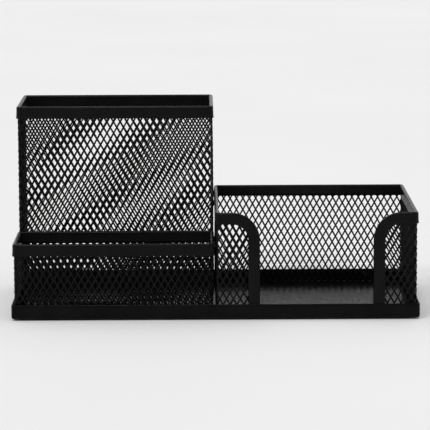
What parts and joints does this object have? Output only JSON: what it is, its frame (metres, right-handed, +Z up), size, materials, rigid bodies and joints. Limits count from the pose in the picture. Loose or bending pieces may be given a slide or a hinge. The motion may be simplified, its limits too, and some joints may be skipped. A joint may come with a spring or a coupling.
{
  "type": "desk organizer",
  "caption": "Black expanded-metal mesh desk organizer: a tall pen box, a low clip tray and a notched note holder standing in a shallow sheet-steel tray.",
  "frame": {"origin": "centre of the footprint, on the desk surface, under the pads", "axes": "+Z up, +X to the right along the tray's width with the note holder on the +X side, and the front with the clip tray and the notch faces -Y"},
  "size_m": [0.205, 0.103, 0.103],
  "materials": {
    "tray_coat": "semi-gloss black powder coat on sheet steel",
    "rim_coat": "satin black powder coat on a folded steel strip",
    "mesh_coat": "satin black powder coat on expanded steel mesh",
    "weld_spot": "coated spot weld",
    "pad_rubber": "matte foam rubber"
  },
  "bodies": {
    "root": {"base_tray": "tray_coat", "pen_mesh_front": "mesh_coat", "pen_mesh_back": "mesh_coat", "pen_mesh_left": "mesh_coat", "pen_mesh_right": "mesh_coat", "clip_mesh_front": "mesh_coat", "clip_mesh_back": "mesh_coat", "clip_mesh_left": "mesh_coat", "clip_mesh_right": "mesh_coat", "note_mesh_back": "mesh_coat", "note_mesh_left": "mesh_coat", "note_mesh_right": "mesh_coat", "note_mesh_front_left": "mesh_coat", "note_mesh_front_right": "mesh_coat", "pen_rim": "rim_coat", "clip_rim": "rim_coat", "note_rim": "rim_coat", "tray_weld_spots": "weld_spot", "divider_weld_spots": "weld_spot", "pad_front_left": "pad_rubber", "pad_front_right": "pad_rubber", "pad_back_left": "pad_rubber", "pad_back_right": "pad_rubber"}
  },
  "joints": []
}
